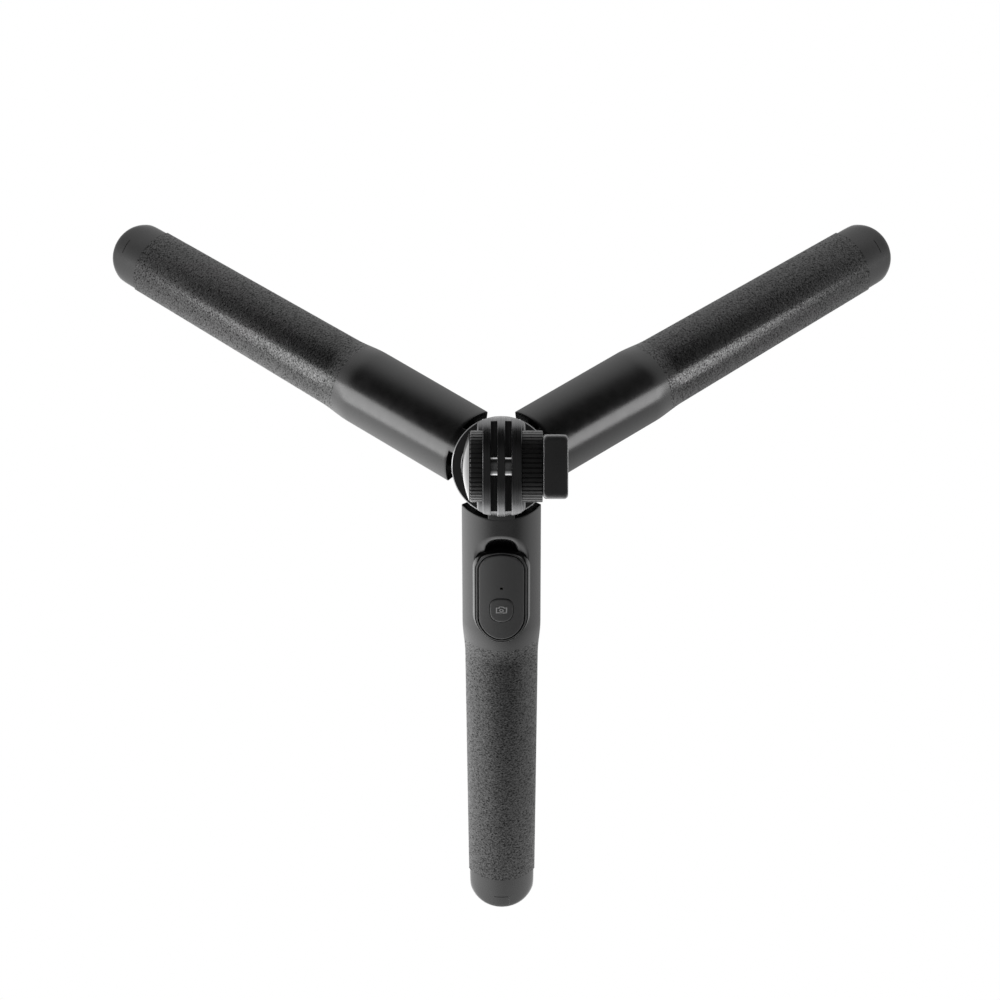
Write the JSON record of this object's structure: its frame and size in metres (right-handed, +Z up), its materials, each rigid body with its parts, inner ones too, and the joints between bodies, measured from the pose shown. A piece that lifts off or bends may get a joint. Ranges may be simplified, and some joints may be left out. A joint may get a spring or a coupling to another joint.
{
  "type": "selfie stick",
  "caption": "Telescopic phone holder whose handle folds out into a tripod, with a swivelling sprung clamp and a lift-out remote shutter.",
  "frame": {"origin": "middle of the flat underside of the pole's base plug, on the pole's axis", "axes": "+Z up along the pole, -Y along the front leg that holds the remote, +X towards the phone clamp"},
  "size_m": [0.3168, 0.278, 0.242],
  "materials": {
    "leg_plastic": "satin black",
    "cap_plastic": "polished black",
    "knob_plastic": "satin black, knurled",
    "grip_skin": "fine leather grain",
    "head_metal": "dark brushed",
    "pole_steel": "drawn",
    "pin_steel": "machined",
    "pad_rubber": "matt",
    "board": "solder mask"
  },
  "bodies": {
    "stand": {"hub": "leg_plastic", "hub_cap": "cap_plastic", "hub_screw_1": "pin_steel", "hub_screw_2": "pin_steel", "hub_screw_3": "pin_steel", "hinge_pin_1": "pin_steel", "hinge_pin_2": "pin_steel", "hinge_pin_3": "pin_steel", "tube_1": "pole_steel", "pole_plug": "leg_plastic"},
    "front_leg": {"leg_shell_1": "leg_plastic", "leg_cover_1": "leg_plastic", "grip_1": "grip_skin", "end_cap_1": "leg_plastic", "foot_1": "pad_rubber"},
    "right_leg": {"leg_shell_2": "leg_plastic", "leg_cover_2": "leg_plastic", "grip_2": "grip_skin", "end_cap_2": "leg_plastic", "foot_2": "pad_rubber"},
    "left_leg": {"leg_shell_3": "leg_plastic", "leg_cover_3": "leg_plastic", "grip_3": "grip_skin", "end_cap_3": "leg_plastic", "foot_3": "pad_rubber"},
    "stage_2": {"tube_2": "pole_steel"},
    "stage_3": {"tube_3": "pole_steel"},
    "stage_4": {"tube_4": "pole_steel"},
    "stage_5": {"tube_5": "pole_steel"},
    "stage_6": {"tube_6": "pole_steel"},
    "head": {"yoke": "head_metal"},
    "clamp": {"clamp_axle": "pin_steel", "clamp_ring": "knob_plastic", "clamp_back": "leg_plastic", "lower_pad": "pad_rubber", "clamp_spring_1": "pin_steel", "clamp_spring_2": "pin_steel"},
    "knob": {"tension_knob": "knob_plastic", "knob_cap": "cap_plastic", "friction_washer": "pin_steel"},
    "jaw": {"sliding_jaw": "leg_plastic", "upper_pad": "pad_rubber", "guide_rod_1": "pin_steel", "guide_rod_2": "pin_steel"},
    "remote": {"remote_case": "leg_plastic", "remote_cover": "leg_plastic", "remote_board": "board", "remote_cell": "pin_steel", "remote_led": "cap_plastic", "shutter_switch": "pin_steel"},
    "button": {"shutter_button": "leg_plastic"}
  },
  "joints": [
    {"name": "front_leg_fold", "type": "hinge", "parent": "stand", "child": "front_leg", "pos_m": [0, -0.0137, 0.1676], "axis": [1, 0, 0], "range_deg": [0, 45]},
    {"name": "right_leg_fold", "type": "hinge", "parent": "stand", "child": "right_leg", "pos_m": [0.01186, 0.00685, 0.1676], "axis": [-0.5, 0.866, 0], "range_deg": [0, 45]},
    {"name": "left_leg_fold", "type": "hinge", "parent": "stand", "child": "left_leg", "pos_m": [-0.01186, 0.00685, 0.1676], "axis": [-0.5, -0.866, 0], "range_deg": [0, 45]},
    {"name": "stage_2_slide", "type": "slide", "parent": "stand", "child": "stage_2", "axis": [0, 0, 1], "range_m": [0, 0.14]},
    {"name": "stage_3_slide", "type": "slide", "parent": "stage_2", "child": "stage_3", "axis": [0, 0, 1], "range_m": [0, 0.14]},
    {"name": "stage_4_slide", "type": "slide", "parent": "stage_3", "child": "stage_4", "axis": [0, 0, 1], "range_m": [0, 0.14]},
    {"name": "stage_5_slide", "type": "slide", "parent": "stage_4", "child": "stage_5", "axis": [0, 0, 1], "range_m": [0, 0.14]},
    {"name": "stage_6_slide", "type": "slide", "parent": "stage_5", "child": "stage_6", "axis": [0, 0, 1], "range_m": [0, 0.14]},
    {"name": "head_pan", "type": "hinge", "parent": "stage_6", "child": "head", "pos_m": [0, 0, 0.182], "axis": [0, 0, 1], "continuous": true},
    {"name": "clamp_roll", "type": "hinge", "parent": "head", "child": "clamp", "pos_m": [0, 0, 0.209], "axis": [1, 0, 0], "range_deg": [-90, 90]},
    {"name": "tension_knob_turn", "type": "hinge", "parent": "clamp", "child": "knob", "pos_m": [-0.0095, 0, 0.209], "axis": [-1, 0, 0], "continuous": true},
    {"name": "jaw_slide", "type": "slide", "parent": "clamp", "child": "jaw", "axis": [0, 0, 1], "range_m": [0, 0.04], "stiffness_N_per_m": 40, "springref_m": -0.02, "deforming": ["clamp_spring_1", "clamp_spring_2"]},
    {"name": "remote_release", "type": "slide", "parent": "front_leg", "child": "remote", "axis": [0, -0.7071, 0.7071], "range_m": [0, 0.025]},
    {"name": "shutter_press", "type": "slide", "parent": "remote", "child": "button", "axis": [0, 0.7071, -0.7071], "range_m": [0, 0.0005], "stiffness_N_per_m": 300, "springref_m": -0.0005}
  ]
}
